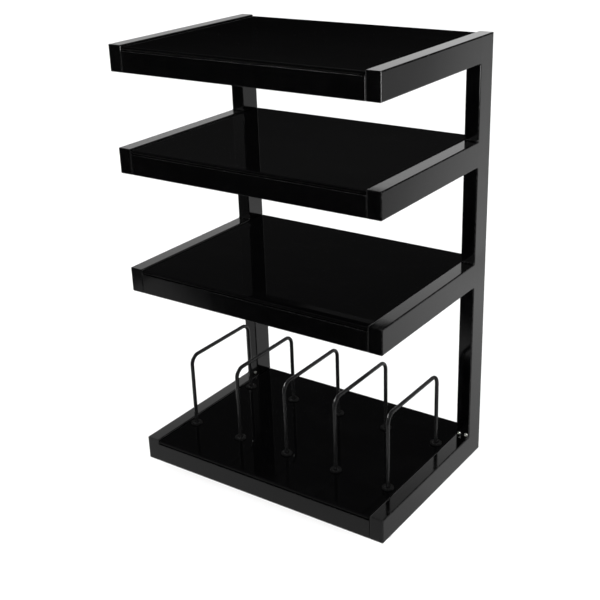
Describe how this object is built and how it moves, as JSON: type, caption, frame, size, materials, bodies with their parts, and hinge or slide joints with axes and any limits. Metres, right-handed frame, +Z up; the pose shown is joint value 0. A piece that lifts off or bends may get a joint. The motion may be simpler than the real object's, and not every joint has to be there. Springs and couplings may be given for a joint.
{
  "type": "hi-fi rack",
  "caption": "Open tiered hi-fi rack: E-shaped tubular side frames, cross rails, black glass shelves and bent-rod hoops that keep records upright.",
  "frame": {"origin": "on the floor under the middle of the rack", "axes": "+Z up, the open front faces -Y, +X to the right of a person facing the front"},
  "size_m": [0.58, 0.4, 0.878],
  "materials": {
    "frame_lacquer": "high-gloss black lacquer",
    "rail_lacquer": "high-gloss black lacquer",
    "hoop_lacquer": "gloss black lacquer",
    "black_glass": "polished black glass",
    "grommet_plastic": "semi-gloss black",
    "strip_rubber": "matt black",
    "glide_plastic": "matt black",
    "screw_zinc": "bright plated"
  },
  "bodies": {
    "root": {"left_upright": "frame_lacquer", "left_top_arm": "frame_lacquer", "left_upper_arm": "frame_lacquer", "left_middle_arm": "frame_lacquer", "left_foot_arm": "frame_lacquer", "left_inner_foot_screw": "screw_zinc", "left_outer_foot_screw": "screw_zinc", "left_front_glide": "glide_plastic", "left_rear_glide": "glide_plastic", "right_upright": "frame_lacquer", "right_top_arm": "frame_lacquer", "right_upper_arm": "frame_lacquer", "right_middle_arm": "frame_lacquer", "right_foot_arm": "frame_lacquer", "right_inner_foot_screw": "screw_zinc", "right_outer_foot_screw": "screw_zinc", "right_front_glide": "glide_plastic", "right_rear_glide": "glide_plastic", "front_rail_base": "rail_lacquer", "front_seat_strip_base": "strip_rubber", "rear_rail_base": "rail_lacquer", "rear_seat_strip_base": "strip_rubber", "glass_shelf_base": "black_glass", "front_rail_middle": "rail_lacquer", "front_seat_strip_middle": "strip_rubber", "rear_rail_middle": "rail_lacquer", "rear_seat_strip_middle": "strip_rubber", "glass_shelf_middle": "black_glass", "front_rail_upper": "rail_lacquer", "front_seat_strip_upper": "strip_rubber", "rear_rail_upper": "rail_lacquer", "rear_seat_strip_upper": "strip_rubber", "glass_shelf_upper": "black_glass", "front_rail_top": "rail_lacquer", "front_seat_strip_top": "strip_rubber", "rear_rail_top": "rail_lacquer", "rear_seat_strip_top": "strip_rubber", "glass_shelf_top": "black_glass", "record_hoop_1": "hoop_lacquer", "hoop_1_front_grommet": "grommet_plastic", "hoop_1_rear_grommet": "grommet_plastic", "record_hoop_2": "hoop_lacquer", "hoop_2_front_grommet": "grommet_plastic", "hoop_2_rear_grommet": "grommet_plastic", "record_hoop_3": "hoop_lacquer", "hoop_3_front_grommet": "grommet_plastic", "hoop_3_rear_grommet": "grommet_plastic", "record_hoop_4": "hoop_lacquer", "hoop_4_front_grommet": "grommet_plastic", "hoop_4_rear_grommet": "grommet_plastic", "record_hoop_5": "hoop_lacquer", "hoop_5_front_grommet": "grommet_plastic", "hoop_5_rear_grommet": "grommet_plastic"}
  },
  "joints": []
}
